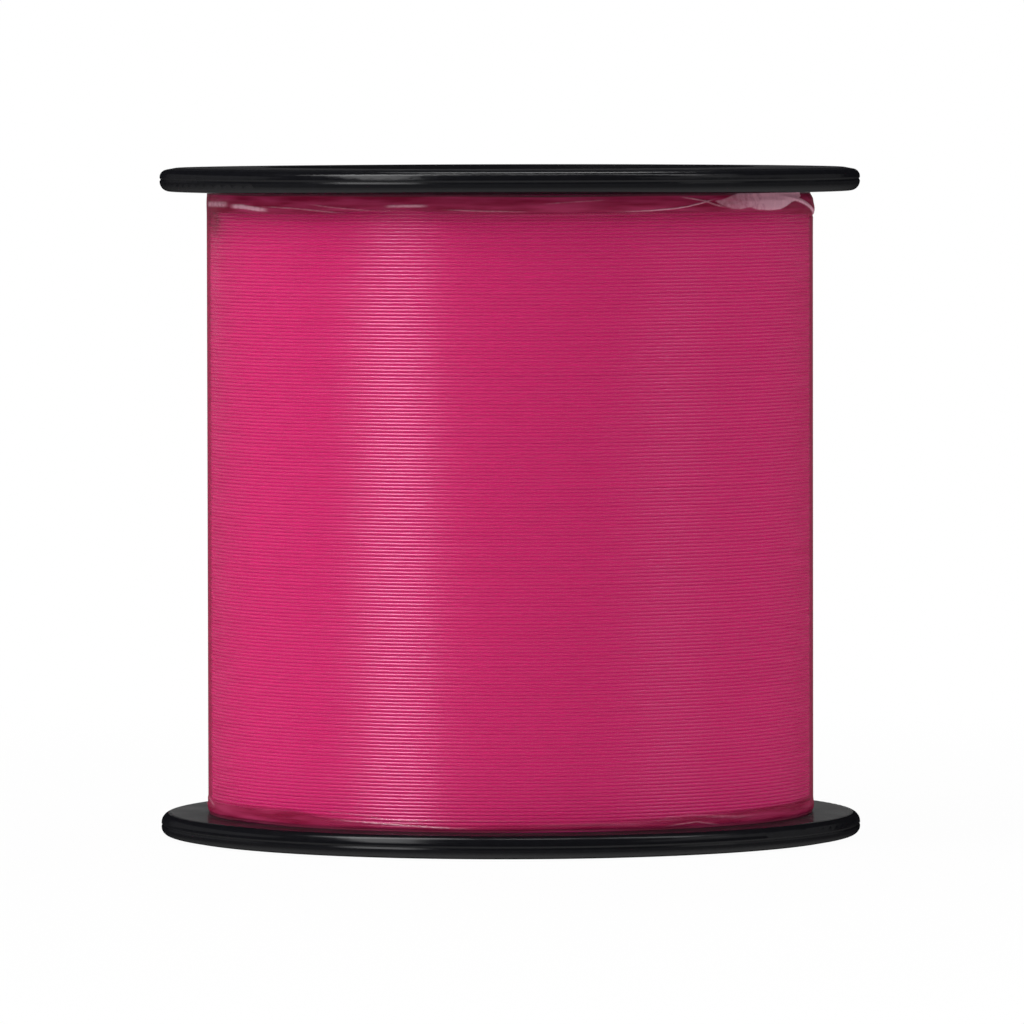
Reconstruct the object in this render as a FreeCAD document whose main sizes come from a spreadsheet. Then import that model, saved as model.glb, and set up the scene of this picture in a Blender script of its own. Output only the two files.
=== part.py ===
import FreeCAD, Part
import math
import os

import Sketcher

# Bulk spool of nylon fishing line: two flanges on a barrel, the line wound between
# them and a clear film round the line. Millimetres, +Z up along the spool's axis,
# origin on the axis at the face that the spool stands on.

DRIVING_SIZES = {
    # whole spool
    "flange_dia": 80.0,
    "overall_length": 76.5,
    # flange disc and its rim, whose outer face falls away from a flat ring
    "rim_thickness": 2.75,
    "rim_flat_dia": 65.5,
    "rim_shoulder_dia": 76.4,
    "rim_shoulder_drop": 0.06,
    "rim_edge_drop": 0.39,
    "rim_outer_radius": 0.9,
    "rim_inner_radius": 1.15,
    "rim_groove_width": 0.4,
    "rim_groove_depth": 0.11,
    "rim_groove_height": 1.38,
    # label seat in the flange's outer face
    "label_seat_dia": 56.0,
    "label_seat_depth": 0.8,
    "label_gap": 0.5,
    "label_hole_dia": 18.0,
    "label_thickness": 0.12,
    # hub, collar and ribs on the flange's inner side
    "bore_dia": 10.0,
    "hub_dia": 16.0,
    "hub_length": 10.0,
    "collar_length": 7.0,
    "collar_wall": 1.6,
    "collar_chamfer": 0.5,
    "collar_clearance": 0.05,
    "rib_thickness": 1.4,
    "rib_depth": 6.0,
    # barrel
    "barrel_dia": 58.4,
    "barrel_wall": 1.8,
    # line, its windings and the film round them
    "line_dia": 0.37,
    "wound_dia": 69.3,
    "film_thickness": 0.1,
    "film_end_gap": 0.15,
    "seating_gap": 0.01,
    # tape that holds the line's inner end on the barrel
    "tape_thickness": 0.12,
    "tape_height": 14.0,
    "tape_angle": 32.0,
    "tape_start": 5.0,
}

RIB_COUNT = 4
OUTER_TURNS = 24
TURN_MARGIN = 1.0
TUBE_SIDES = 8
GAP_SAMPLES_PER_TURN = 72
LEAST_ALLOWED_GAP = 0.4

doc = FreeCAD.newDocument("line_spool")


# Driving dimensions

def make_sheet():
    sheet = doc.addObject("Spreadsheet::Sheet", "Dims")
    for row, (alias, value) in enumerate(DRIVING_SIZES.items(), start=1):
        sheet.set(f"A{row}", alias)
        sheet.set(f"B{row}", str(value))
        sheet.setAlias(f"B{row}", alias)
    doc.recompute()
    return sheet


sheet = make_sheet()


def value_of(expression):
    result = sheet.evalExpression(expression)
    return float(getattr(result, "Value", result))


# Expressions that several pieces share

GAP_BETWEEN_FLANGES = "(Dims.overall_length - 2 * Dims.rim_thickness)"
BARREL_BORE_RADIUS = "(Dims.barrel_dia / 2 - Dims.barrel_wall)"
COLLAR_RADIUS = f"({BARREL_BORE_RADIUS} - Dims.collar_clearance)"
FILM_INNER_RADIUS = "(Dims.wound_dia / 2 - Dims.film_thickness)"
TURN_RADIUS = f"({FILM_INNER_RADIUS} - Dims.seating_gap - Dims.line_dia / 2)"
CORE_RADIUS = f"({TURN_RADIUS} - Dims.line_dia / 2 - Dims.seating_gap)"
LABEL_DIA = "(Dims.label_seat_dia - 2 * Dims.label_gap)"


# Sketch and feature helpers

def origin_feature(body, role):
    return next(item for item in body.Origin.OriginFeatures if item.Role == role)


def new_sketch(body, name, role="XY_Plane", height=None):
    sketch = body.newObject("Sketcher::SketchObject", name)
    sketch.AttachmentSupport = [(origin_feature(body, role), "")]
    sketch.MapMode = "FlatFace"
    if height:
        sketch.setExpression("AttachmentOffset.Base.z", height)
    return sketch


def add_circle(sketch, diameter):
    centre = FreeCAD.Vector()
    circle = Part.Circle(centre, FreeCAD.Vector(0, 0, 1), value_of(diameter) / 2)
    index = sketch.addGeometry(circle, False)
    sketch.addConstraint(Sketcher.Constraint("Coincident", index, 3, -1, 1))
    constraint = sketch.addConstraint(Sketcher.Constraint("Diameter", index, value_of(diameter)))
    sketch.setExpression(f"Constraints[{constraint}]", diameter)


def add_polygon(sketch, corners):
    points = [FreeCAD.Vector(value_of(x), value_of(y), 0) for x, y in corners]
    count = len(points)
    for start in range(count):
        sketch.addGeometry(Part.LineSegment(points[start], points[(start + 1) % count]), False)
    for start in range(count):
        following = (start + 1) % count
        sketch.addConstraint(Sketcher.Constraint("Coincident", start, 2, following, 1))
    for index, corner in enumerate(corners):
        for kind, expression in zip(("DistanceX", "DistanceY"), corner):
            distance = Sketcher.Constraint(kind, -1, 1, index, 1, value_of(expression))
            constraint = sketch.addConstraint(distance)
            sketch.setExpression(f"Constraints[{constraint}]", expression)


def add_pad(body, name, sketch, length):
    pad = body.newObject("PartDesign::Pad", name)
    pad.Profile = sketch
    pad.setExpression("Length", length)
    doc.recompute()
    return pad


def add_turned(body, kind, name, sketch):
    feature = body.newObject(f"PartDesign::{kind}", name)
    feature.Profile = sketch
    feature.ReferenceAxis = (sketch, ["V_Axis"])
    feature.Angle = 360
    doc.recompute()
    return feature


def add_dress_up(body, kind, name, base, wanted, size):
    edges = [f"Edge{i}" for i, edge in enumerate(base.Shape.Edges, start=1) if wanted(edge)]
    feature = body.newObject(f"PartDesign::{kind}", name)
    feature.Base = (base, edges)
    feature.setExpression("Radius" if kind == "Fillet" else "Size", size)
    doc.recompute()
    return feature


def is_circle(edge, radius, height=None):
    curve = edge.Curve
    if not isinstance(curve, Part.Circle) or not math.isclose(curve.Radius, radius, abs_tol=1e-4):
        return False
    return height is None or math.isclose(curve.Center.z, height, abs_tol=1e-4)


# Flange: disc with a rounded, grooved rim and a slightly crowned outer face, a seat for
# the label in that face, and a hub, a collar for the barrel and ribs on its inner side

def make_flange(label):
    body = doc.addObject("PartDesign::Body", label)
    body.Label = label

    disc_sketch = new_sketch(body, f"{label}_disc_sketch", "XZ_Plane")
    add_polygon(disc_sketch, [
        ("Dims.bore_dia / 2", "0 mm"),
        ("Dims.rim_flat_dia / 2", "0 mm"),
        ("Dims.rim_shoulder_dia / 2", "Dims.rim_shoulder_drop"),
        ("Dims.flange_dia / 2", "Dims.rim_edge_drop"),
        ("Dims.flange_dia / 2", "Dims.rim_thickness"),
        ("Dims.bore_dia / 2", "Dims.rim_thickness"),
    ])
    disc = add_turned(body, "Revolution", f"{label}_disc", disc_sketch)
    for side, height in (("outer", "Dims.rim_edge_drop"), ("inner", "Dims.rim_thickness")):
        disc = add_dress_up(body, "Fillet", f"{label}_rim_{side}_round", disc,
                            lambda edge: is_circle(edge, value_of("Dims.flange_dia / 2"), value_of(height)),
                            f"Dims.rim_{side}_radius")

    groove_sketch = new_sketch(body, f"{label}_groove_sketch", "XZ_Plane")
    outside = "Dims.flange_dia / 2 + Dims.rim_groove_depth"
    add_polygon(groove_sketch, [
        ("Dims.flange_dia / 2 - Dims.rim_groove_depth", "Dims.rim_groove_height"),
        (outside, "Dims.rim_groove_height - Dims.rim_groove_width"),
        (outside, "Dims.rim_groove_height + Dims.rim_groove_width"),
    ])
    add_turned(body, "Groove", f"{label}_rim_groove", groove_sketch)

    seat_sketch = new_sketch(body, f"{label}_seat_sketch")
    add_circle(seat_sketch, "Dims.label_seat_dia")
    seat = body.newObject("PartDesign::Pocket", f"{label}_label_seat")
    seat.Profile = seat_sketch
    seat.Reversed = True
    seat.setExpression("Length", "Dims.label_seat_depth")
    doc.recompute()

    hub_sketch = new_sketch(body, f"{label}_hub_sketch", height="Dims.rim_thickness")
    add_circle(hub_sketch, "Dims.hub_dia")
    add_pad(body, f"{label}_hub", hub_sketch, "Dims.hub_length")

    collar_sketch = new_sketch(body, f"{label}_collar_sketch", height="Dims.rim_thickness")
    add_circle(collar_sketch, f"2 * {COLLAR_RADIUS}")
    add_circle(collar_sketch, f"2 * ({COLLAR_RADIUS} - Dims.collar_wall)")
    collar = add_pad(body, f"{label}_collar", collar_sketch, "Dims.collar_length")
    collar_radius = value_of(COLLAR_RADIUS)
    collar_top = value_of("Dims.rim_thickness + Dims.collar_length")
    add_dress_up(body, "Chamfer", f"{label}_collar_lead_in", collar,
                 lambda edge: is_circle(edge, collar_radius, collar_top), "Dims.collar_chamfer")

    rib_sketch = new_sketch(body, f"{label}_rib_sketch", height="Dims.rim_thickness")
    rib_start = "Dims.hub_dia / 2 - Dims.rib_thickness / 2"
    rib_end = f"{COLLAR_RADIUS} - Dims.collar_wall / 2"
    half_rib = "Dims.rib_thickness / 2"
    add_polygon(rib_sketch, [
        (rib_start, f"-{half_rib}"), (rib_end, f"-{half_rib}"),
        (rib_end, half_rib), (rib_start, half_rib),
    ])
    rib = add_pad(body, f"{label}_rib", rib_sketch, "Dims.rib_depth")
    ribs = body.newObject("PartDesign::PolarPattern", f"{label}_ribs")
    ribs.Originals = [rib]
    ribs.Axis = (origin_feature(body, "Z_Axis"), [""])
    ribs.Angle = 360
    ribs.Occurrences = RIB_COUNT
    body.Tip = ribs
    doc.recompute()

    bore_sketch = new_sketch(body, f"{label}_bore_sketch")
    add_circle(bore_sketch, "Dims.bore_dia")
    bore = body.newObject("PartDesign::Pocket", f"{label}_bore")
    bore.Profile = bore_sketch
    bore.Reversed = True
    bore.Type = "ThroughAll"
    body.Tip = bore
    doc.recompute()
    return body


# Round pieces made from plain cylinders

def make_cylinder(name, radius, height, bottom, angle=None):
    cylinder = doc.addObject("Part::Cylinder", name)
    cylinder.setExpression("Radius", radius)
    cylinder.setExpression("Height", height)
    cylinder.setExpression("Placement.Base.z", bottom)
    if angle:
        cylinder.setExpression("Angle", angle)
    return cylinder


def make_cut(label, base, tool):
    cut = doc.addObject("Part::Cut", label)
    cut.Label = label
    cut.Base = base
    cut.Tool = tool
    doc.recompute()
    return cut


def make_ring(label, outer_radius, inner_radius, height, bottom, angle=None):
    outer = make_cylinder(f"{label}_outside", outer_radius, height, bottom, angle)
    inner = make_cylinder(f"{label}_inside", inner_radius, height, bottom)
    return make_cut(label, outer, inner)


# Line: its outer layer is one unbroken tube, eight-sided in section, that winds up the
# spool on arcs that each take half of a half turn

def helix_point(angle, radius, pitch, bottom):
    turns = angle / math.tau
    return FreeCAD.Vector(radius * math.cos(angle), radius * math.sin(angle), bottom + pitch * turns)


def helix_tangent(angle, radius, pitch):
    rise = pitch / math.tau
    tangent = FreeCAD.Vector(-radius * math.sin(angle), radius * math.cos(angle), rise)
    return tangent.normalize()


def arc_between(start, corner, end):
    reach = (corner - start).Length
    half_chord = (end - start).Length / 2
    half_angle = math.acos(half_chord / reach)
    sagitta = half_chord * math.tan(half_angle / 2)
    middle = (start + end) / 2
    towards_corner = (corner - middle).normalize()
    return Part.Arc(start, middle + towards_corner * sagitta, end).toShape()


def biarc(start, start_tangent, end, end_tangent):
    chord = end - start
    along = chord.dot(start_tangent + end_tangent)
    spread = 2 * (1 - start_tangent.dot(end_tangent))
    reach = (math.sqrt(along ** 2 + spread * chord.dot(chord)) - along) / spread
    first_corner = start + start_tangent * reach
    second_corner = end - end_tangent * reach
    joint = (first_corner + second_corner) / 2
    return [arc_between(start, first_corner, joint), arc_between(joint, second_corner, end)]


def outer_layer_route():
    radius = value_of(TURN_RADIUS)
    bottom = value_of("Dims.rim_thickness") + TURN_MARGIN
    pitch = (value_of(GAP_BETWEEN_FLANGES) - 2 * TURN_MARGIN) / OUTER_TURNS
    straight = value_of("Dims.line_dia")
    angles = [math.pi * i for i in range(2 * OUTER_TURNS + 1)]
    points = [helix_point(angle, radius, pitch, bottom) for angle in angles]
    tangents = [helix_tangent(angle, radius, pitch) for angle in angles]
    edges = [Part.LineSegment(points[0] - tangents[0] * straight, points[0]).toShape()]
    for i in range(len(points) - 1):
        edges += biarc(points[i], tangents[i], points[i + 1], tangents[i + 1])
    edges.append(Part.LineSegment(points[-1], points[-1] + tangents[-1] * straight).toShape())
    return Part.Wire(edges), tangents[0]


def least_gap_to_itself(route, line_dia):
    count = OUTER_TURNS * GAP_SAMPLES_PER_TURN
    points = route.discretize(Number=count)
    half_turn = GAP_SAMPLES_PER_TURN // 2
    least = min(
        points[i].distanceToPoint(points[j])
        for i in range(count)
        for j in range(i + half_turn, min(i + 2 * GAP_SAMPLES_PER_TURN, count))
    )
    return least - line_dia


def tube_section(centre, direction, diameter):
    across = direction.cross(FreeCAD.Vector(0, 0, 1)).normalize()
    upwards = across.cross(direction)
    corners = []
    for side in range(TUBE_SIDES + 1):
        angle = math.tau * (side + 0.5) / TUBE_SIDES
        offset = across * math.cos(angle) + upwards * math.sin(angle)
        corners.append(centre + offset * diameter / 2)
    return Part.makePolygon(corners)


def make_outer_layer(label):
    line_dia = value_of("Dims.line_dia")
    route, start_tangent = outer_layer_route()
    start = route.OrderedVertexes[0].Point
    section = tube_section(start, start_tangent, line_dia)
    tube = route.makePipeShell([section], True, False)
    gap = least_gap_to_itself(route, line_dia)
    expected = Part.Face(section).Area * route.Length
    print(f"{label}: {OUTER_TURNS} turns, {route.Length:.0f} mm of line, least gap {gap:.2f} mm, "
          f"volume {tube.Volume:.1f} of {expected:.1f} mm3")
    if gap < LEAST_ALLOWED_GAP:
        raise ValueError("the turns of the outer layer are too close together")
    feature = doc.addObject("Part::Feature", label)
    feature.Label = label
    feature.Shape = tube
    feature.Placement = FreeCAD.Placement()
    return feature


# The pieces

lower_flange = make_flange("lower_flange")
upper_flange = make_flange("upper_flange")
upper_flange.Placement = FreeCAD.Placement(
    FreeCAD.Vector(0, 0, value_of("Dims.overall_length")),
    FreeCAD.Rotation(FreeCAD.Vector(1, 0, 0), 180),
)

barrel = make_ring("barrel", "Dims.barrel_dia / 2", BARREL_BORE_RADIUS,
                   GAP_BETWEEN_FLANGES, "Dims.rim_thickness")

line_start_tape = make_ring("line_start_tape", "Dims.barrel_dia / 2 + Dims.tape_thickness",
                            "Dims.barrel_dia / 2", "Dims.tape_height",
                            "Dims.rim_thickness + Dims.tape_start", "Dims.tape_angle")

full_winding = make_ring("full_winding", CORE_RADIUS, "Dims.barrel_dia / 2",
                         GAP_BETWEEN_FLANGES, "Dims.rim_thickness")
line_inner_layers = make_cut("line_inner_layers", full_winding, line_start_tape)

line_outer_layer = make_outer_layer("line_outer_layer")

wrap_film = make_ring("wrap_film", "Dims.wound_dia / 2", FILM_INNER_RADIUS,
                      f"{GAP_BETWEEN_FLANGES} - 2 * Dims.film_end_gap",
                      "Dims.rim_thickness + Dims.film_end_gap")

lower_label = make_ring("lower_label", f"{LABEL_DIA} / 2", "Dims.label_hole_dia / 2",
                        "Dims.label_thickness", "Dims.label_seat_depth - Dims.label_thickness")
upper_label = make_ring("upper_label", f"{LABEL_DIA} / 2", "Dims.label_hole_dia / 2",
                        "Dims.label_thickness", "Dims.overall_length - Dims.label_seat_depth")

PIECES = [lower_flange, upper_flange, barrel, line_start_tape, line_inner_layers,
          line_outer_layer, wrap_film, lower_label, upper_label]


# Checks, then one file for each piece

def check_document():
    doc.recompute()
    for item in doc.Objects:
        if "Invalid" in item.State or "Error" in item.State:
            raise RuntimeError(f"{item.Label} failed: {item.State}")
    for piece in PIECES:
        shape = piece.Shape
        if shape.isNull() or not shape.isValid() or len(shape.Solids) != 1:
            raise RuntimeError(f"{piece.Label} is not one valid solid")


check_document()
os.makedirs("parts", exist_ok=True)
for piece in PIECES:
    box = piece.Shape.optimalBoundingBox(False)
    print(f"{piece.Label}: {piece.Shape.Volume / 1000:.2f} cm3, "
          f"z {box.ZMin:.2f} to {box.ZMax:.2f}, across {box.XLength:.2f}")
    piece.Shape.exportStep(f"parts/{piece.Label}.step")
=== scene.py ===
import math

import bpy
import numpy as np
from mathutils import Matrix, Vector


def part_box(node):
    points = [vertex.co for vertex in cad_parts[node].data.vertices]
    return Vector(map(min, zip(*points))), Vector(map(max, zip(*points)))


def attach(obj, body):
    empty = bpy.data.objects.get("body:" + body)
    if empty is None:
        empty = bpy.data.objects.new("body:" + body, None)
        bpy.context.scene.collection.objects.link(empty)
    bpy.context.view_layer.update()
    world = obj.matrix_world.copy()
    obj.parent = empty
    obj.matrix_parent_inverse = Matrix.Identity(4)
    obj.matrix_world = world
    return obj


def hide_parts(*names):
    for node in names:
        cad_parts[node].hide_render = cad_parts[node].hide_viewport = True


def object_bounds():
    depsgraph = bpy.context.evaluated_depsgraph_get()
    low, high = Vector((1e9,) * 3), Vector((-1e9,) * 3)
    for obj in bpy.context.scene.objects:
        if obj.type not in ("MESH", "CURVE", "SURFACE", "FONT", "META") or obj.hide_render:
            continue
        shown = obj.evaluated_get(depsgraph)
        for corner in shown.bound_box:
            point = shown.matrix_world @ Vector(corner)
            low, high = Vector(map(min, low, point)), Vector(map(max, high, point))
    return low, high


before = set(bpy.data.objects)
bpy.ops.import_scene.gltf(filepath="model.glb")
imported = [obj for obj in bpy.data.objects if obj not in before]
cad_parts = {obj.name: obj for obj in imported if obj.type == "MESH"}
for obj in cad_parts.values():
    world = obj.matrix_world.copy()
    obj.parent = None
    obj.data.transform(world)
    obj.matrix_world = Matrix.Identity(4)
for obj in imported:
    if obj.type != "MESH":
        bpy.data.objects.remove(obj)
cad_low, cad_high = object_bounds()

MM = 0.001

# Sizes read from the frame, in metres

barrel_low, barrel_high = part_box("barrel")
film_low, film_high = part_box("wrap_film")

BOTTOM_INNER_FACE = barrel_low.z
TOP_INNER_FACE = barrel_high.z
BARREL_RADIUS = barrel_high.x
FILM_RADIUS = film_high.x
SPOOL_HEIGHT = cad_high.z

LINE_DIAMETER = 0.37 * MM


# Small helpers. Azimuth is in degrees round the axis: 0 faces the camera, 90 is at its right.

def link(obj):
    bpy.context.scene.collection.objects.link(obj)
    return obj


def smooth_mesh(name, points, faces):
    mesh = bpy.data.meshes.new(name)
    mesh.from_pydata(points.tolist(), [], [list(face) for face in faces])
    mesh.update()
    mesh.polygons.foreach_set("use_smooth", [True] * len(mesh.polygons))
    return link(bpy.data.objects.new(name, mesh))


def write_values(obj, name, values):
    """Keeps one number for each point of the mesh, for the materials to read."""
    attribute = obj.data.attributes.new(name, "FLOAT", "POINT")
    attribute.data.foreach_set("value", values.reshape(-1).astype(np.float32))


def grid_quads(rows, columns, close_rows=False, close_columns=False):
    """Faces of a grid of points that is stored row by row."""
    last_row = rows if close_rows else rows - 1
    last_column = columns if close_columns else columns - 1
    row = np.arange(last_row)[:, None]
    column = np.arange(last_column)[None, :]
    next_row = (row + 1) % rows
    next_column = (column + 1) % columns
    corners = (row * columns + column, row * columns + next_column,
               next_row * columns + next_column, next_row * columns + column)
    return np.stack(np.broadcast_arrays(*corners), axis=2).reshape(-1, 4)


def round_the_axis(radius, azimuth, height):
    angle = np.radians(azimuth)
    return np.stack([radius * np.sin(angle), -radius * np.cos(angle), height], axis=-1)


def smooth_noise(random, count, spacing):
    """A smooth random curve of that many samples, with one free value every so many samples."""
    knots = random.normal(0.0, 1.0, int(count / spacing) + 4)
    place = np.arange(count) / spacing
    whole = place.astype(int)
    part = place - whole
    blend = part * part * (3 - 2 * part)
    return knots[whole] * (1 - blend) + knots[whole + 1] * blend


def ease(value, low, high):
    """Rises smoothly from 0 at low to 1 at high."""
    part = np.clip((value - low) / (high - low), 0, 1)
    return part * part * (3 - 2 * part)


def fall(value, low, high):
    """Falls smoothly from 1 at low to 0 at high."""
    return 1 - ease(value, low, high)


# Outer layer of line: every visible turn is part of one long tube. Its inner side is a
# flat chord, and both its ends dive under the neighbouring turns.

TURNS = 179
LINE_START = 90
STEPS_PER_TURN = 76
SECTION_STEPS = 6
SECTION_REACH = math.radians(105)
PITCH = (TOP_INNER_FACE - BOTTOM_INNER_FACE - LINE_DIAMETER) / TURNS
CREST_RADIUS = FILM_RADIUS - 0.1 * MM
TUCK_STEPS = 6
TUCK_DEPTH = 0.5 * MM
LINE_SEED = 11
# The line's small unevenness, and the turns in which it changes once
HEIGHT_JITTER, HEIGHT_JITTER_TURNS = 0.004 * MM, 0.83
SINK_JITTER, SINK_JITTER_TURNS = 0.003 * MM, 0.61
# How far from the flanges the end turns lie lower, and by how much
LOW_END_REACH, LOW_END_SINK = 1.2 * MM, 0.12 * MM
HIGH_END_REACH, HIGH_END_FULL, HIGH_END_SINK = 2.2 * MM, 0.4 * MM, 0.16 * MM
# Where round its section a turn's groove is full, and where its gloss starts and is full
GROOVE_ANGLE = math.radians(70)
GLOSS_START, GLOSS_FULL = math.radians(-40), math.radians(12)
GLOSS_NARROWING = 1.8
# Painted light: how much more a turn's underside is brightened in its groove
UNDERSIDE_PAINTED_LIGHT = 1.3


def crest_radius(height):
    """The end turns lie a little lower than the others."""
    low_end = fall(height, BOTTOM_INNER_FACE, BOTTOM_INNER_FACE + LOW_END_REACH)
    high_end = ease(height, TOP_INNER_FACE - HIGH_END_REACH, TOP_INNER_FACE - HIGH_END_FULL)
    return CREST_RADIUS - LOW_END_SINK * low_end - HIGH_END_SINK * high_end


def groove_depth(section):
    """0 at a turn's crest, and 1 where its groove is full."""
    return (1 - np.cos(section)) / (1 - math.cos(GROOVE_ANGLE))


def painted_groove_light(section):
    """Painted light: how much the nylon's colour is brightened where it nears its neighbours,
    more on its underside, for light that would pass through the translucent line.
    """
    glow = np.clip(groove_depth(section), 0, 1) ** 1.5
    return np.clip(np.where(section < 0, UNDERSIDE_PAINTED_LIGHT * glow, glow), 0, 1)


def bare_share(section):
    """How much of each turn's gloss shows: the crest and its upper side, clear of the film's
    bridges from turn to turn."""
    upper = ease(section, GLOSS_START, GLOSS_FULL)
    return upper * (1 - np.clip(GLOSS_NARROWING * groove_depth(section), 0, 1))


def make_turns():
    random = np.random.default_rng(LINE_SEED)
    count = TURNS * STEPS_PER_TURN + 1
    step = np.arange(count)
    azimuth = 360 * step / STEPS_PER_TURN + LINE_START
    height = BOTTOM_INNER_FACE + LINE_DIAMETER / 2 + PITCH * step / STEPS_PER_TURN
    height += HEIGHT_JITTER * smooth_noise(random, count, HEIGHT_JITTER_TURNS * STEPS_PER_TURN)
    centre = crest_radius(height) - LINE_DIAMETER / 2
    centre += SINK_JITTER * smooth_noise(random, count, SINK_JITTER_TURNS * STEPS_PER_TURN)
    from_end = np.minimum(step, count - 1 - step)
    centre -= TUCK_DEPTH * fall(from_end, 0, TUCK_STEPS)

    section = np.linspace(-SECTION_REACH, SECTION_REACH, SECTION_STEPS + 1)
    radius = centre[:, None] + LINE_DIAMETER / 2 * np.cos(section)
    z = height[:, None] + PITCH / 2 * np.sin(section) / math.sin(SECTION_REACH)
    z = np.clip(z, BOTTOM_INNER_FACE, TOP_INNER_FACE)
    points = round_the_axis(radius, azimuth[:, None], z).reshape(-1, 3)
    sides = SECTION_STEPS + 1
    quads = grid_quads(count, sides, close_columns=True)[:, ::-1].tolist()
    quads.append(list(range(sides)))
    quads.append(list(range(count * sides - 1, (count - 1) * sides - 1, -1)))
    obj = smooth_mesh("line_turns", points, quads)
    # Painted light: how much each point's colour is brightened towards the grooves' colour
    write_values(obj, "groove", np.broadcast_to(painted_groove_light(section), radius.shape))
    write_values(obj, "bare", np.broadcast_to(bare_share(section), radius.shape))
    return obj


# Inner layers: a ring whose outside carries the next layer down, with its turns in the
# grooves between the visible ones

CORE_COLUMNS = 120
CORE_STEPS_PER_TURN = 4
NEST_DEPTH = 0.313 * MM


def make_core():
    rows = TURNS * CORE_STEPS_PER_TURN + 1
    azimuth = np.linspace(0, 360, CORE_COLUMNS, endpoint=False)
    height = np.linspace(BOTTOM_INNER_FACE, TOP_INNER_FACE, rows)
    azimuth, height = np.meshgrid(azimuth, height)
    turn = (height - BOTTOM_INNER_FACE - LINE_DIAMETER / 2) / PITCH - (azimuth - LINE_START) / 360
    across = (turn - np.floor(turn) - 0.5) * PITCH
    centre = crest_radius(height) - LINE_DIAMETER / 2 - NEST_DEPTH
    radius = centre + np.sqrt(np.maximum((LINE_DIAMETER / 2) ** 2 - across ** 2, 0))
    outside = round_the_axis(radius, azimuth, height).reshape(-1, 3)
    inner_ends = [round_the_axis(BARREL_RADIUS, azimuth[0], np.full(CORE_COLUMNS, end))
                  for end in (TOP_INNER_FACE, BOTTOM_INNER_FACE)]
    points = np.concatenate([outside] + inner_ends)
    quads = grid_quads(rows + 2, CORE_COLUMNS, close_rows=True, close_columns=True)
    obj = smooth_mesh("line_layers", points, quads)
    # The inner layers, seen through the gaps, take the full painted light of the grooves' colour
    write_values(obj, "groove", np.ones(len(points)))
    return obj


turns = make_turns()
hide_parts("line_outer_layer")
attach(turns, "root")

core = make_core()
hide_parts("line_inner_layers")
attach(core, "root")


# Film: one sheet, pulled tight round the turns, with a seam behind and a crumpled band at
# each flange. A drop is the distance from a flange's inner face, and drops are in
# millimetres. Folds run through points of azimuth and drop, with a half width and a height
# in millimetres, and with how milky they look: a whiteness that is partly a painted glint.

FILM_START = 172.0
FILM_OVERLAP = 16.0
SEAM_RISE = 2.0
FILM_COLUMNS = 760
BAND_STEP = 0.07 * MM
MIDDLE_STEP = 3.0 * MM
TOP_BAND = 3.4 * MM
BOTTOM_BAND = 2.6 * MM
TOP_EDGE_GAP = 0.06 * MM
BOTTOM_EDGE_GAP = 0.03 * MM
FILM_THICKNESS = 0.05 * MM
FILM_SINK = 0.02 * MM
FLANGE_CLEARANCE = 0.02 * MM
FOLD_SEED = 5
BACK_FOLD_STARTS = (95, 262)
TOP_BACK_FOLDS, TOP_BACK_REACH = 26, 1.9
BOTTOM_BACK_FOLDS, BOTTOM_BACK_REACH = 20, 1.3

TOP_FOLDS = [
    ([(-66, 1.5), (-60, 1.55), (-56, 1.75), (-51, 1.92)], 0.22, 0.05, 0.75),
    ([(-84, 1.4), (-74, 1.35), (-66, 1.35)], 0.3, 0.03, 0.4),
    ([(-55, 1.45), (-44, 1.64), (-37, 1.93), (-30, 2.27)], 0.06, 0.05, 0.25),
    ([(-41, 1.13), (-35, 1.48), (-27, 1.83), (-20, 1.95)], 0.06, 0.05, 0.2),
    ([(-24, 1.36), (-19, 1.3), (-15, 1.3)], 0.14, 0.05, 0.5),
    ([(-13, 1.68), (-5, 1.87), (4, 1.95)], 0.06, 0.05, 0.25),
    ([(-8, 2.31), (4, 2.32), (19, 2.24), (36, 2.15)], 0.1, 0.05, 0.1),
    ([(6, 1.08), (12, 0.85), (19, 0.62)], 0.06, 0.04, 0.15),
    ([(18, 2.05), (27, 1.87), (32, 1.67), (35, 1.44), (39, 0.98), (42, 0.6)], 0.07, 0.1, 0.5),
    ([(33, 0.34), (36, 0.58), (39, 0.86), (42, 1.36), (45, 1.68)], 0.06, 0.1, 0.4),
    ([(60, 0.35), (64, 0.47), (68, 0.72), (72.5, 1.09), (78, 1.68), (83.4, 2.4), (86, 2.75)],
     0.24, 0.1, 0.9),
]
BOTTOM_FOLDS = [
    ([(-41, 2.08), (-36, 1.96), (-28, 1.66), (-25, 1.32), (-20, 1.16), (-12, 1.3), (3, 1.28),
      (17, 1.4)],
     0.09, 0.06, 0.3),
    ([(-36, 1.11), (-29, 0.95), (-25, 0.82), (-18, 0.62), (-12, 0.5), (-6, 0.42)], 0.09, 0.07, 0.6),
    ([(0, 0.85), (17, 0.79), (27, 0.61)], 0.2, 0.05, 0.08),
    ([(27, 1.05), (31, 1.28), (35, 1.48), (40, 1.22), (47, 0.94), (55, 0.98)], 0.16, 0.08, 0.12),
    ([(29, 0.3), (33, 0.52), (37, 0.69), (40, 0.42), (43, 0.16)], 0.07, 0.08, 0.3),
    ([(56, 1.4), (62, 1.66), (73, 1.51), (82, 1.6)], 0.2, -0.06, 0.0),
    ([(-84, 2.0), (-80, 1.6), (-76, 1.2)], 0.15, 0.06, 0.2),
]
# A milky patch under the upper flange, partly a painted glint, by azimuth and the drop that
# it reaches to. Its left part starts below the flange and is dimmer.
PATCH_REACH = [(41.5, 0.9), (43.5, 1.45), (46, 1.8), (48.5, 1.85), (51, 1.65), (53.5, 1.95),
               (58, 2.03), (61.5, 1.92), (64, 1.6), (66.5, 1.2), (70, 0.9), (73, 0.5)]
PATCH_LEFT_START = 0.9
PATCH_DIM, PATCH_GAIN = 0.36, 0.5

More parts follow.
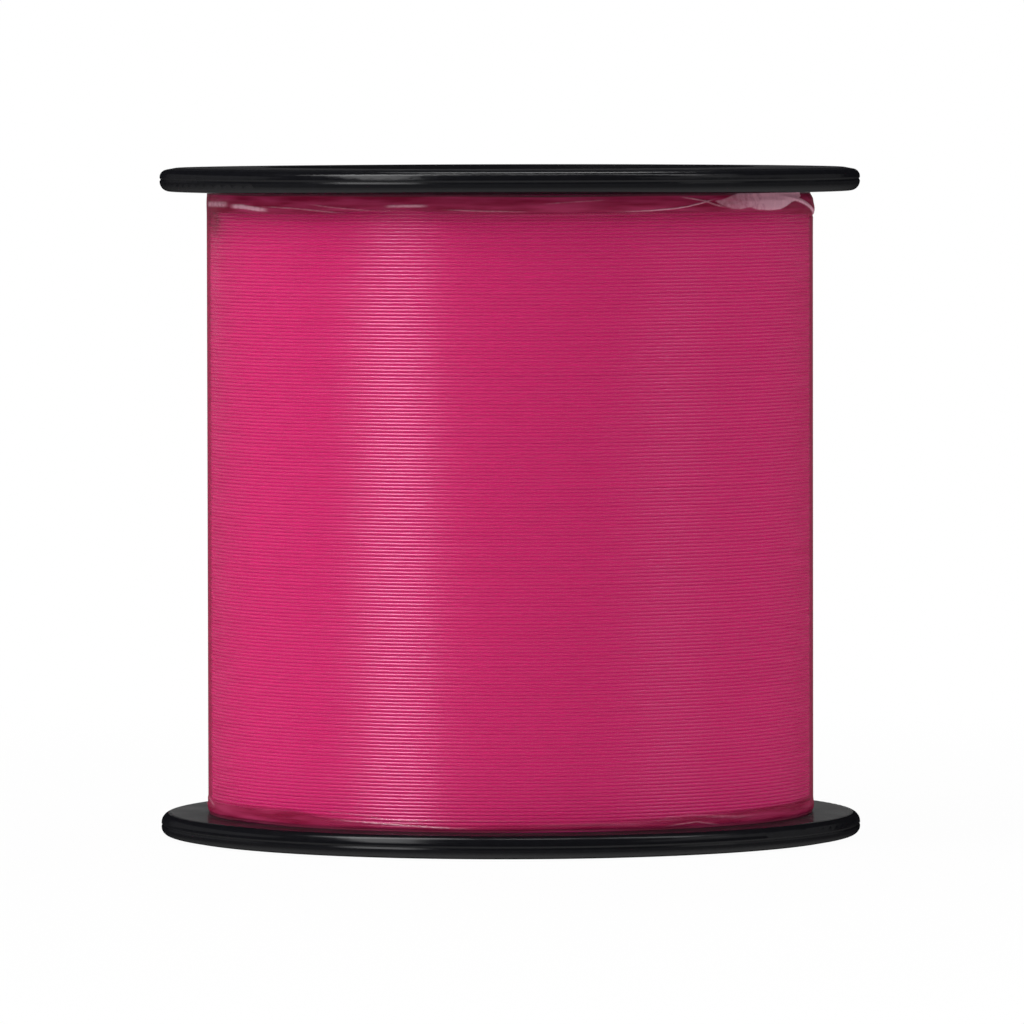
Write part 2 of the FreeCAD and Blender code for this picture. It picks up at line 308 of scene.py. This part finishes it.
# How far the film stands out near each flange, in millimetres, round the spool
TOP_BULGE = [(-180, 0.05), (-140, 0.12), (-110, 0.02), (-90, 0.02), (-60, 0.05), (-30, 0.02),
             (0, 0.02), (40, 0.05), (70, 0.14), (90, 0.2), (110, 0.12), (150, 0.03), (180, 0.05)]
BOTTOM_BULGE = [(-180, 0.08), (-130, 0.02), (-95, 0.1), (-80, 0.06), (-50, 0.03), (0, 0.03),
                (50, 0.05), (80, 0.06), (95, 0.1), (140, 0.04), (180, 0.08)]
TOP_BULGE_DROP, TOP_BULGE_LOWERING, TOP_BULGE_WIDTH = 1.5, 0.55, 0.75
BOTTOM_BULGE_DROP, BOTTOM_BULGE_WIDTH = 0.9, 0.5
# How far its edges are drawn in: above, as a multiple of the bulge, and below in millimetres
TOP_DRAWN_IN, BOTTOM_DRAWN_IN = 1.75, 0.12
# A notch under the upper bulge's right part
NOTCH_DROP, NOTCH_DEPTH, NOTCH_WIDTH = 2.85, 0.1, 0.16
# Both edges' waves: how many round the spool, their phase in degrees, and their height
EDGE_WAVES = [(5, 40, 0.04 * MM), (11, 0, 0.032 * MM)]

# The drops at which the crumpled bands end, and how much they hide
TOP_BAND_END = [(-180, 2.1), (-90, 2.3), (-50, 2.3), (-35, 2.1), (-26, 1.75), (-19, 1.7),
                (-12, 2.1), (0, 2.15), (20, 2.05), (40, 2.05), (60, 2.25), (75, 2.6), (90, 2.9),
                (120, 2.4), (180, 2.1)]
TOP_COVER = 0.86
VEIL_COVER, VEIL_END = 0.3, 4.0
BOTTOM_BAND_END = [(-180, 1.6), (-90, 2.2), (-45, 2.2), (-30, 1.4), (-10, 1.0), (20, 1.5),
                   (50, 2.0), (90, 2.6), (180, 1.6)]
BOTTOM_COVER = [(-180, 0.5), (-90, 0.75), (-42, 0.75), (-30, 0.6), (-22, 0.5), (-12, 0.45),
                (-4, 0.5), (20, 0.5), (50, 0.7), (90, 0.75), (180, 0.5)]
BOTTOM_FADE = 0.7
LEFT_SIDE_COVER = 0.75
# Painted shade along the lower edge, where the film meets the flange: how much it hides and
# how dark it is
EDGE_COVER, EDGE_SHADE = 0.85, 0.55


def wrapped(azimuth):
    return (azimuth + 180) % 360 - 180


def distance_to(route, azimuth, drop):
    """Distance in millimetres on the film from every point to a route, and how far along."""
    per_degree = math.radians(1) * FILM_RADIUS / MM
    route = np.array(route, float) * (per_degree, 1)
    x, y = azimuth * per_degree, drop
    nearest = np.full(x.shape, np.inf)
    along = np.zeros(x.shape)
    for index, (start, end) in enumerate(zip(route[:-1], route[1:])):
        run = end - start
        part = np.clip(((x - start[0]) * run[0] + (y - start[1]) * run[1]) / (run @ run), 0, 1)
        distance = np.hypot(x - start[0] - part * run[0], y - start[1] - part * run[1])
        closer = distance < nearest
        nearest = np.where(closer, distance, nearest)
        along = np.where(closer, (index + part) / (len(route) - 1), along)
    return nearest, along


def random_folds(random, number, reach):
    """Folds like the drawn ones for the side that faces away from the camera."""
    folds = []
    for _ in range(number):
        start = random.uniform(*BACK_FOLD_STARTS)
        drop = random.uniform(0.3, reach)
        slope = random.uniform(-0.7, 0.7)
        length = random.uniform(8, 26)
        route = [(wrapped(start + length * part), drop + slope * part * (1 + 0.4 * part))
                 for part in (0, 0.35, 0.7, 1)]
        if max(abs(a[0] - b[0]) for a, b in zip(route[:-1], route[1:])) < 90:
            folds.append((route, random.uniform(0.06, 0.18), random.uniform(0.03, 0.09),
                          random.uniform(0.0, 0.5)))
    return folds


def folded(folds, azimuth, drop):
    """Height of the folds in millimetres and their milkiness, which is partly a painted glint."""
    height = np.zeros(azimuth.shape)
    milk_and_glint = np.zeros(azimuth.shape)
    for route, half_width, rise, cloud in folds:
        distance, along = distance_to(route, azimuth, drop)
        taper = ease(along, -0.02, 0.25) * ease(1 - along, -0.02, 0.25)
        profile = np.exp(-(distance / half_width) ** 2) * taper
        height += rise * profile
        milk_and_glint = np.maximum(milk_and_glint, cloud * np.exp(-(distance / half_width) ** 4) * taper)
    return height, milk_and_glint


def round_values(knots, azimuth):
    place, value = np.array(knots, float).T
    return np.interp(azimuth, place, value)


def hump(drop, centre, width):
    return np.exp(-((drop - centre) / width) ** 2)


def film_bulge(azimuth, top_drop, bottom_drop):
    """How far the film stands out near the flanges, in millimetres."""
    top = round_values(TOP_BULGE, azimuth)
    bottom = round_values(BOTTOM_BULGE, azimuth)
    top_centre = TOP_BULGE_DROP + TOP_BULGE_LOWERING * ease(azimuth, 30, 80)
    bulge = top * hump(top_drop, top_centre, TOP_BULGE_WIDTH)
    bulge -= TOP_DRAWN_IN * top * fall(top_drop, 0.1, 1.0)
    bulge -= NOTCH_DEPTH * ease(azimuth, 30, 75) * hump(top_drop, NOTCH_DROP, NOTCH_WIDTH)
    bulge += bottom * hump(bottom_drop, BOTTOM_BULGE_DROP, BOTTOM_BULGE_WIDTH)
    bulge -= BOTTOM_DRAWN_IN * fall(bottom_drop, 0.1, 0.5)
    return bulge


def milky_glint_patch(azimuth, drop):
    reach = round_values(PATCH_REACH, azimuth)
    inside = (azimuth > PATCH_REACH[0][0]) & (azimuth < PATCH_REACH[-1][0])
    patch = np.where(inside, fall(drop, reach - 0.12, reach + 0.06), 0)
    start = PATCH_LEFT_START * fall(azimuth, 41.5, 50)
    patch = patch * ease(drop, start - 0.15, start + 0.05)
    return patch * (PATCH_DIM + PATCH_GAIN * ease(azimuth, 46, 62))


def film_haze(azimuth, top_drop, bottom_drop):
    """How much the crumpled bands hide, with a veil below the upper one, and with a stretch
    under it at the camera's left under the bands' colour, which is partly painted shade."""
    top_end = round_values(TOP_BAND_END, azimuth)
    below = ease(top_drop, top_end - 0.15, top_end + 0.12)
    top = TOP_COVER * (1 - below) + VEIL_COVER * below * fall(top_drop, top_end, VEIL_END)
    bottom_end = round_values(BOTTOM_BAND_END, azimuth)
    bottom = round_values(BOTTOM_COVER, azimuth)
    bottom = bottom * fall(bottom_drop, bottom_end - BOTTOM_FADE, bottom_end)
    left = LEFT_SIDE_COVER * ease(-azimuth, 68, 75) * fall(-azimuth, 92, 130)
    left = left * fall(top_drop, 3.2, 6.5)
    return np.maximum.reduce([top, bottom, left])


def make_film():
    random = np.random.default_rng(FOLD_SEED)
    low = BOTTOM_INNER_FACE + BOTTOM_EDGE_GAP
    high = TOP_INNER_FACE - TOP_EDGE_GAP
    heights = np.concatenate([
        np.arange(low, low + BOTTOM_BAND, BAND_STEP),
        np.arange(low + BOTTOM_BAND, high - TOP_BAND, MIDDLE_STEP),
        np.arange(high - TOP_BAND, high + BAND_STEP / 2, BAND_STEP),
    ])
    turned = np.linspace(0, 360 + FILM_OVERLAP, FILM_COLUMNS)
    turned, height = np.meshgrid(turned, heights)
    azimuth = wrapped(FILM_START + turned)
    top_drop = (TOP_INNER_FACE - height) / MM
    bottom_drop = (height - BOTTOM_INNER_FACE) / MM

    top_folds = TOP_FOLDS + random_folds(random, TOP_BACK_FOLDS, TOP_BACK_REACH)
    bottom_folds = BOTTOM_FOLDS + random_folds(random, BOTTOM_BACK_FOLDS, BOTTOM_BACK_REACH)
    top_rise, top_milk_and_glint = folded(top_folds, azimuth, top_drop)
    bottom_rise, bottom_milk_and_glint = folded(bottom_folds, azimuth, bottom_drop)
    rise = film_bulge(azimuth, top_drop, bottom_drop) + top_rise + bottom_rise
    radius = FILM_RADIUS - FILM_SINK + rise * MM
    radius = radius + FILM_THICKNESS * ease(turned, 360, 360 + SEAM_RISE)

    wave = sum(size * np.sin(np.radians(azimuth * count + phase))
               for count, phase, size in EDGE_WAVES)
    height = height + wave * (fall(bottom_drop, 0.1, 0.6) - fall(top_drop, 0.1, 0.6))
    height = np.clip(height, BOTTOM_INNER_FACE + FLANGE_CLEARANCE,
                     TOP_INNER_FACE - FLANGE_CLEARANCE)

    # Milkiness of the folds and the patch, partly a painted glint
    milk_and_glint = np.maximum.reduce([top_milk_and_glint, bottom_milk_and_glint, milky_glint_patch(azimuth, top_drop)])
    # Painted shade: a dark line under the upper flange and along the lower edge
    bottom_edge = fall(bottom_drop, 0.18, 0.42)
    haze = np.maximum(film_haze(azimuth, top_drop, bottom_drop), EDGE_COVER * bottom_edge)
    shade = np.maximum(fall(top_drop, 0.2, 0.36), EDGE_SHADE * bottom_edge)

    points = round_the_axis(radius, azimuth, height).reshape(-1, 3)
    obj = smooth_mesh("film", points, grid_quads(len(heights), FILM_COLUMNS))
    write_values(obj, "milk_and_glint", milk_and_glint)
    write_values(obj, "haze", haze)
    write_values(obj, "shade", shade)
    return obj


film = make_film()
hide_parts("wrap_film")
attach(film, "root")


# Materials

def combine(nodes, links, operation, *inputs):
    """A maths node on its inputs, each a socket or a number."""
    node = nodes.new("ShaderNodeMath")
    node.operation = operation
    for socket, value in zip(node.inputs, inputs):
        if isinstance(value, (int, float)):
            socket.default_value = value
        else:
            links.new(value, socket)
    return node.outputs[0]


def map_range(nodes, links, value, from_low, from_high, to_low, to_high, kind="LINEAR"):
    node = nodes.new("ShaderNodeMapRange")
    node.interpolation_type = kind
    links.new(value, node.inputs["Value"])
    for name, number in (("From Min", from_low), ("From Max", from_high),
                         ("To Min", to_low), ("To Max", to_high)):
        node.inputs[name].default_value = number
    return node.outputs[0]


def coordinates(nodes, kind="Object"):
    return nodes.new("ShaderNodeTexCoord").outputs[kind]


def upright_part(nodes, links, vector):
    """The part of a vector along the spool's axis."""
    split = nodes.new("ShaderNodeSeparateXYZ")
    links.new(vector, split.inputs[0])
    return split.outputs["Z"]


def vector_maths(nodes, links, operation, vector):
    node = nodes.new("ShaderNodeVectorMath")
    node.operation = operation
    links.new(vector, node.inputs[0])
    return node


def mesh_value(nodes, name):
    """The number that the mesh keeps for each of its points."""
    node = nodes.new("ShaderNodeAttribute")
    node.attribute_name = name
    return node.outputs["Fac"]


def noise(nodes, links, scale, detail=2.0, stretch=(1, 1, 1)):
    """Noise in object space, with the scale in features per metre."""
    mapping = nodes.new("ShaderNodeMapping")
    mapping.inputs["Scale"].default_value = stretch
    links.new(coordinates(nodes), mapping.inputs["Vector"])
    node = nodes.new("ShaderNodeTexNoise")
    node.inputs["Scale"].default_value = scale
    node.inputs["Detail"].default_value = detail
    links.new(mapping.outputs["Vector"], node.inputs["Vector"])
    return node.outputs["Fac"]


def blend_colours(nodes, links, factor, first, second):
    """From the first colour, which is plain or a socket, to the second, which is plain."""
    node = nodes.new("ShaderNodeMix")
    node.data_type = "RGBA"
    links.new(factor, node.inputs[0])
    if isinstance(first, tuple):
        node.inputs[6].default_value = (*first, 1)
    else:
        links.new(first, node.inputs[6])
    node.inputs[7].default_value = (*second, 1)
    return node.outputs[2]


def bump(nodes, links, height, distance, strength=1.0):
    node = nodes.new("ShaderNodeBump")
    node.inputs["Strength"].default_value = strength
    node.inputs["Distance"].default_value = distance
    links.new(height, node.inputs["Height"])
    return node.outputs["Normal"]


def new_material(name):
    material = bpy.data.materials.new(name)
    material.use_nodes = True
    nodes = material.node_tree.nodes
    return material, nodes, material.node_tree.links, nodes["Principled BSDF"]


def facing(nodes):
    """0 where the surface is seen head on, and 1 where the view grazes it."""
    weight = nodes.new("ShaderNodeLayerWeight")
    weight.inputs["Blend"].default_value = 0.5
    return weight.outputs["Facing"]


def gloss_share(nodes, links, head_on, edge):
    """The share that mirrors, which rises from head_on to edge as the view grazes."""
    grazing = combine(nodes, links, "POWER", facing(nodes), 5.0)
    rise = combine(nodes, links, "SUBTRACT", edge, head_on)
    return combine(nodes, links, "MULTIPLY_ADD", grazing, rise, head_on)


def mix_shaders(nodes, links, share, first, second):
    mix = nodes.new("ShaderNodeMixShader")
    links.new(share, mix.inputs[0])
    links.new(first.outputs[0], mix.inputs[1])
    links.new(second.outputs[0], mix.inputs[2])
    return mix


def show(nodes, links, shader, output="Material Output"):
    links.new(shader.outputs[0], nodes[output].inputs["Surface"])


def glossy_plastic(name):
    """A material with a plain body and a gloss, still to be mixed and shown."""
    material, nodes, links, shader = new_material(name)
    nodes.remove(shader)
    body = nodes.new("ShaderNodeBsdfDiffuse")
    gloss = nodes.new("ShaderNodeBsdfGlossy")
    gloss.distribution = "GGX"
    return material, nodes, links, body, gloss


def softened_normal(nodes, links, share):
    """The surface's direction, turned by that share to straight away from the axis."""
    flat = vector_maths(nodes, links, "MULTIPLY", coordinates(nodes))
    flat.inputs[1].default_value = (1, 1, 0)
    outward = vector_maths(nodes, links, "NORMALIZE", flat.outputs[0])
    turned = nodes.new("ShaderNodeVectorTransform")
    turned.vector_type = "NORMAL"
    turned.convert_from = "OBJECT"
    turned.convert_to = "WORLD"
    links.new(outward.outputs[0], turned.inputs[0])
    own = nodes.new("ShaderNodeNewGeometry")
    mix = nodes.new("ShaderNodeMix")
    mix.data_type = "VECTOR"
    mix.inputs[0].default_value = share
    links.new(own.outputs["Normal"], mix.inputs[4])
    links.new(turned.outputs[0], mix.inputs[5])
    return vector_maths(nodes, links, "NORMALIZE", mix.outputs[1]).outputs[0]


NYLON_DARK, NYLON_PALE = (0.54, 0.0065, 0.095), (0.6, 0.01, 0.112)
# Painted light: the grooves' brighter colour, for light that would pass through the line
NYLON_GROOVE_PAINTED_LIGHT = (1.0, 0.045, 0.31)
NYLON_SOFTENING = 0.85
NYLON_GLOSS_COLOUR = (0.95, 0.7, 0.96, 1)
NYLON_HEAD_ON, NYLON_EDGE = 0.054, 0.2
NYLON_ROUGHNESS = 0.24


def nylon_material():
    """Nylon whose colour is brightened in the grooves between its turns: painted light, for
    light that would pass through the translucent line. Its stretched noise gives each turn
    its own tone and gloss."""
    material, nodes, links, body, gloss = glossy_plastic("magenta_nylon")
    shade = noise(nodes, links, 60, 2.0, (1, 1, 22))
    crest = blend_colours(nodes, links, shade, NYLON_DARK, NYLON_PALE)
    # Painted light: the colour is brightened where the mesh marks a groove
    colour = blend_colours(nodes, links, mesh_value(nodes, "groove"), crest, NYLON_GROOVE_PAINTED_LIGHT)
    links.new(colour, body.inputs["Color"])
    links.new(softened_normal(nodes, links, NYLON_SOFTENING), body.inputs["Normal"])
    dull = noise(nodes, links, 60, 2.0, (1, 1, 20))
    gloss.inputs["Color"].default_value = NYLON_GLOSS_COLOUR
    gloss.inputs["Roughness"].default_value = NYLON_ROUGHNESS
    links.new(map_range(nodes, links, dull, 0.3, 0.7, 0.2, 0.28), gloss.inputs["Roughness"])
    share = gloss_share(nodes, links, NYLON_HEAD_ON, NYLON_EDGE)
    share = combine(nodes, links, "MULTIPLY", share, mesh_value(nodes, "bare"))
    show(nodes, links, mix_shaders(nodes, links, share, body, gloss))
    return material


BLACK_DARK, BLACK_PALE = (0.003, 0.003, 0.004), (0.006, 0.006, 0.0078)
BLACK_HEAD_ON, BLACK_EDGE = 0.007, 0.002
BLACK_ROUGHNESS = 0.17
FACE_MARGIN = 0.06 * MM
# What is added to the gloss: at the edge on inner faces and on level tops, head on beneath
INNER_FACE_GAIN, LEVEL_GAIN, UNDERSIDE_GAIN = 0.33, 0.05, 0.03


def black_material():
    """Black plastic. The flanges' inner faces, polished by the mould, mirror the winding."""
    material, nodes, links, body, gloss = glossy_plastic("black_plastic")
    height = upright_part(nodes, links, coordinates(nodes))
    above = combine(nodes, links, "GREATER_THAN", height, BOTTOM_INNER_FACE - FACE_MARGIN)
    below = combine(nodes, links, "LESS_THAN", height, TOP_INNER_FACE + FACE_MARGIN)
    inner = combine(nodes, links, "MULTIPLY", above, below)
    edge = combine(nodes, links, "MULTIPLY_ADD", inner, INNER_FACE_GAIN, BLACK_EDGE)
    own = nodes.new("ShaderNodeNewGeometry")
    lean = upright_part(nodes, links, own.outputs["Normal"])
    level = map_range(nodes, links, lean, 0.97, 0.995, 0, LEVEL_GAIN)
    edge = combine(nodes, links, "ADD", level, edge)
    under = map_range(nodes, links, lean, -0.25, -0.75, 0, 1)
    head_on = combine(nodes, links, "MULTIPLY_ADD", under, UNDERSIDE_GAIN, BLACK_HEAD_ON)
    shade = noise(nodes, links, 900, 3.0)
    links.new(blend_colours(nodes, links, shade, BLACK_DARK, BLACK_PALE), body.inputs["Color"])
    rub = noise(nodes, links, 260, 4.0, (1, 1, 3))
    gloss.inputs["Roughness"].default_value = BLACK_ROUGHNESS
    links.new(map_range(nodes, links, rub, 0.35, 0.7, 0.145, 0.195), gloss.inputs["Roughness"])
    waves = noise(nodes, links, 300, 2.0, (1, 1, 2))
    links.new(bump(nodes, links, waves, 0.02 * MM), gloss.inputs["Normal"])
    share = gloss_share(nodes, links, head_on, edge)
    show(nodes, links, mix_shaders(nodes, links, share, body, gloss))
    return material


def matte_black_material():
    material, nodes, links, shader = new_material("matte_black_plastic")
    shade = noise(nodes, links, 1500, 3.0)
    colour = blend_colours(nodes, links, shade, (0.011, 0.011, 0.012), (0.02, 0.02, 0.021))
    links.new(colour, shader.inputs["Base Color"])
    dull = noise(nodes, links, 500, 3.0)
    links.new(map_range(nodes, links, dull, 0.3, 0.7, 0.42, 0.58), shader.inputs["Roughness"])
    links.new(bump(nodes, links, shade, 0.03 * MM, 0.5), shader.inputs["Normal"])
    return material


def paper_material(name, pale, dark, fibre):
    material, nodes, links, shader = new_material(name)
    cloud = noise(nodes, links, 120, 3.0)
    threads = noise(nodes, links, fibre, 6.0, (1, 0.35, 1))
    mottle = combine(nodes, links, "MULTIPLY", threads, 0.6)
    mottle = combine(nodes, links, "MULTIPLY_ADD", cloud, 0.4, mottle)
    mottle = map_range(nodes, links, mottle, 0.35, 0.65, 0, 1)
    links.new(blend_colours(nodes, links, mottle, dark, pale), shader.inputs["Base Color"])
    shader.inputs["Specular IOR Level"].default_value = 0.25
    links.new(map_range(nodes, links, threads, 0.3, 0.7, 0.6, 0.75), shader.inputs["Roughness"])
    links.new(bump(nodes, links, threads, 0.02 * MM, 0.6), shader.inputs["Normal"])
    return material


# Where the film thickens as the view grazes it, and how much it hides there; its colour
# there is darkened as a painted shade of the winding's edges
SOFT_LIMB_STARTS, SOFT_LIMB_COVER = 0.45, 0.32
LIMB_STARTS, LIMB_FULL, LIMB_COVER = 0.78, 0.88, 0.9
MOST_COVER = 0.92
# The bands' colour: the line seen through gathered film, darker than the bare line, partly as
# painted shade near the flanges
BAND_DARK, BAND_PALE = (0.26, 0.008, 0.042), (0.48, 0.04, 0.13)
# Painted shade at the winding's edges
LIMB_SHADE_COLOUR = (0.24, 0.01, 0.045)
# Painted shade where the film meets the flanges
PAINTED_SHADE_COLOUR = (0.085, 0.028, 0.042)
# Milky white of gathered film, partly a painted glint
MILK_AND_GLINT_COLOUR = (0.82, 0.4, 0.52)
FILM_HEAD_ON, FILM_EDGE, MILK_GAIN = 0.006, 0.035, 0.03
FILM_ROUGHNESS = 0.2


def film_material():
    """Clear, with a faint gloss; milky, partly as a painted glint, where it is gathered, and
    darkened as painted shade at the flanges and at the winding's edges, by the mesh's own
    values and by how the view grazes it.
    """
    material, nodes, links, shader = new_material("clear_film")
    nodes.remove(shader)
    speckle = noise(nodes, links, 1500, 3.0)
    speckle = map_range(nodes, links, speckle, 0.35, 0.65, 0.65, 1.2)
    # Milkiness, partly a painted glint, with speckle
    milky = combine(nodes, links, "MULTIPLY", mesh_value(nodes, "milk_and_glint"), speckle)
    cover = combine(nodes, links, "MAXIMUM", milky, mesh_value(nodes, "haze"))
    limb = map_range(nodes, links, facing(nodes), LIMB_STARTS, LIMB_FULL, 0, LIMB_COVER,
                     "SMOOTHSTEP")
    soft = map_range(nodes, links, facing(nodes), SOFT_LIMB_STARTS, LIMB_STARTS, 0,
                     SOFT_LIMB_COVER)
    limb = combine(nodes, links, "MAXIMUM", limb, soft)
    cover = combine(nodes, links, "MAXIMUM", cover, limb)
    cover = combine(nodes, links, "MINIMUM", cover, MOST_COVER)

    streaks = noise(nodes, links, 130, 2.0, (1, 1, 12))
    streaks = map_range(nodes, links, streaks, 0.35, 0.68, 0, 1)
    colour = blend_colours(nodes, links, streaks, BAND_DARK, BAND_PALE)
    # Painted shade at the winding's edges, where the view grazes the film
    colour = blend_colours(nodes, links, limb, colour, LIMB_SHADE_COLOUR)
    # Painted shade where the film meets the flanges
    colour = blend_colours(nodes, links, mesh_value(nodes, "shade"), colour, PAINTED_SHADE_COLOUR)
    whiteness = map_range(nodes, links, milky, 0.0, 0.6, 0, 1)
    # Milky white, partly a painted glint
    colour = blend_colours(nodes, links, whiteness, colour, MILK_AND_GLINT_COLOUR)
    cloud = nodes.new("ShaderNodeBsdfDiffuse")
    links.new(colour, cloud.inputs["Color"])
    clear = nodes.new("ShaderNodeBsdfTransparent")
    body = mix_shaders(nodes, links, cover, clear, cloud)

    gloss = nodes.new("ShaderNodeBsdfGlossy")
    gloss.inputs["Roughness"].default_value = FILM_ROUGHNESS
    share = gloss_share(nodes, links, FILM_HEAD_ON, FILM_EDGE)
    share = combine(nodes, links, "MULTIPLY_ADD", milky, MILK_GAIN, share)
    show(nodes, links, mix_shaders(nodes, links, share, body, gloss))
    return material


def dress(obj, material):
    if not obj.material_slots:
        obj.data.materials.append(material)
    for entry in obj.material_slots:
        entry.material = material


nylon = nylon_material()
black = black_material()
label = paper_material("label_paper", (0.68, 0.68, 0.66), (0.57, 0.57, 0.54), 1800)
tape = paper_material("paper_tape", (0.74, 0.64, 0.42), (0.62, 0.52, 0.32), 1300)
dress(turns, nylon)
dress(core, nylon)
dress(film, film_material())
dress(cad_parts["line_start_tape"], tape)
dress(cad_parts["barrel"], matte_black_material())
for name in ("lower_flange", "upper_flange"):
    dress(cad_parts[name], black)
for name in ("lower_label", "upper_label"):
    dress(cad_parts[name], label)


# Floor: white for the rays that show the background, and a pale floor for the light

FLOOR_HALF_SIDE = 3.0
FLOOR_DROP = 0.02 * MM
FLOOR_COLOUR = (0.5, 0.5, 0.5, 1)
FLOOR_ROUGHNESS = 0.9
BACKGROUND_SHARE = 0.97
SHADOW_REACH = 0.25


def background_rays(nodes, links):
    """Two sockets: 1 for rays from the camera, and 1 for rays in gloss or through clear
    things, which show the same background."""
    path = nodes.new("ShaderNodeLightPath")
    mirrored = combine(nodes, links, "MAXIMUM", path.outputs["Is Glossy Ray"],
                       path.outputs["Is Transmission Ray"])
    return path.outputs["Is Camera Ray"], mirrored


def make_floor():
    side = FLOOR_HALF_SIDE
    mesh = bpy.data.meshes.new("floor")
    corners = [(-side, -side, 0), (side, -side, 0), (side, side, 0), (-side, side, 0)]
    mesh.from_pydata(corners, [], [(0, 1, 2, 3)])
    floor = link(bpy.data.objects.new("floor", mesh))
    floor.location.z = -FLOOR_DROP
    return floor


def floor_material():
    material, nodes, links, shader = new_material("floor_white")
    shader.inputs["Base Color"].default_value = FLOOR_COLOUR
    shader.inputs["Roughness"].default_value = FLOOR_ROUGHNESS
    glow = nodes.new("ShaderNodeEmission")
    seen, mirrored = background_rays(nodes, links)
    shows = combine(nodes, links, "MAXIMUM", seen, mirrored)
    away = vector_maths(nodes, links, "LENGTH", coordinates(nodes)).outputs["Value"]
    fade = map_range(nodes, links, away, SHADOW_REACH / 2, SHADOW_REACH, BACKGROUND_SHARE, 1,
                     "SMOOTHSTEP")
    share = combine(nodes, links, "MULTIPLY", shows, fade)
    show(nodes, links, mix_shaders(nodes, links, share, shader, glow))
    return material


floor = make_floor()
dress(floor, floor_material())


# World: white where the background shows, and otherwise a plain room that gloss shows dimmer

ROOM_LEVEL = 0.88
MIRRORED_ROOM = 0.25
# The backdrop that gloss shows, as heights over the horizon
BACKDROP_TOP, BACKDROP_END = math.sin(math.radians(0.5)), math.sin(math.radians(1.5))
WHITE = (1, 1, 1, 1)


def make_world():
    world = bpy.data.worlds.new("studio")
    bpy.context.scene.world = world
    world.use_nodes = True
    nodes = world.node_tree.nodes
    links = world.node_tree.links
    height = upright_part(nodes, links, coordinates(nodes, "Generated"))
    seen, mirrored = background_rays(nodes, links)
    backdrop = map_range(nodes, links, height, BACKDROP_TOP, BACKDROP_END, 1, 0, "SMOOTHSTEP")
    shows = combine(nodes, links, "MULTIPLY", mirrored, backdrop)
    shows = combine(nodes, links, "MAXIMUM", seen, shows)
    room = nodes["Background"]
    room.inputs["Color"].default_value = WHITE
    dimmed = ROOM_LEVEL * (MIRRORED_ROOM - 1)
    level = combine(nodes, links, "MULTIPLY_ADD", mirrored, dimmed, ROOM_LEVEL)
    links.new(level, room.inputs["Strength"])
    white = nodes.new("ShaderNodeBackground")
    white.inputs["Color"].default_value = WHITE
    show(nodes, links, mix_shaders(nodes, links, shows, room, white), "World Output")


make_world()


# Lamps

CENTRE = Vector((0, 0, SPOOL_HEIGHT / 2))
LAMP_DISTANCE = 1.0


def softbox(name, direction, along, length, width, radiance, gloss_only=False):
    """An area lamp that faces the spool from that direction, with its length along a
    direction of its own, of that brightness as a mirror shows it."""
    away = Vector(direction).normalized()
    across = away.cross(Vector(along)).normalized()
    lengthwise = across.cross(away)
    data = bpy.data.lights.new(name, "AREA")
    data.shape = "RECTANGLE"
    data.size = length
    data.size_y = width
    data.energy = 4 * radiance * length * width
    lamp = link(bpy.data.objects.new(name, data))
    lamp.location = CENTRE + away * LAMP_DISTANCE
    turn = Matrix((lengthwise, across, away)).transposed()
    lamp.rotation_mode = "QUATERNION"
    lamp.rotation_quaternion = turn.to_quaternion()
    lamp.visible_diffuse = not gloss_only


# Name, direction from the spool, direction of the length, length, width and brightness. One
# box lights the spool, and the other panels show only in gloss.
softbox("left_box", (-0.59, -0.39, 0.71), (0.26, 0.6, 0.49), 0.82, 0.35, 4.3)
GLOSS_PANELS = [
    ("left_shine", (-0.553, -0.44, 0.71), (0.207, 0.62, 0.49), 1.2, 0.36, 8.2),
    ("right_shine", (0.705, -0.05, 0.707), (-0.32, 0.48, 0.4), 0.7, 0.3, 1.6),
    ("left_panel", (-0.81, 0.51, 0.29), (0.5, 0.93, -0.28), 1.35, 0.35, 1.4),
    ("right_panel", (0.9, 0.11, 0.41), (-0.04, 1.3, -0.28), 2.0, 0.4, 1.2),
    ("back_shine", (0.04, 0.61, 0.79), (1, 0, 0), 0.32, 0.3, 30),
    ("upper_left_shine", (-0.41, -0.06, 0.91), (1, 0, 0.45), 0.6, 0.3, 15),
    ("upper_right_shine", (0.48, -0.06, 0.87), (1, 0, -0.5), 0.4, 0.2, 8),
    ("upper_shine", (0.08, -0.12, 0.99), (1, 0, 0), 0.28, 0.12, 16),
    ("upper_strip", (0.05, -0.02, 0.99), (1, 0, 0), 1.5, 0.14, 5),
]
for panel in GLOSS_PANELS:
    softbox(*panel, gloss_only=True)


# Camera, placed from a fit of both rims in the photograph

PHOTO_WIDTH = 1024
FOCAL_PIXELS = 10431
CAMERA_PLACE = (0.00028, -1.19244, 0.08741)
CAMERA_PITCH = 2.4202
CAMERA_ROLL = 0.1
SENSOR_WIDTH = 36

camera_data = bpy.data.cameras.new("camera")
camera_data.sensor_width = SENSOR_WIDTH
camera_data.lens = FOCAL_PIXELS / PHOTO_WIDTH * SENSOR_WIDTH
camera_data.clip_start = 0.05
camera_data.clip_end = 20
camera = link(bpy.data.objects.new("camera", camera_data))
camera.location = CAMERA_PLACE
camera.rotation_euler = (math.radians(90 - CAMERA_PITCH), math.radians(CAMERA_ROLL), 0)
bpy.context.scene.camera = camera

bpy.context.scene.view_settings.view_transform = "Standard"
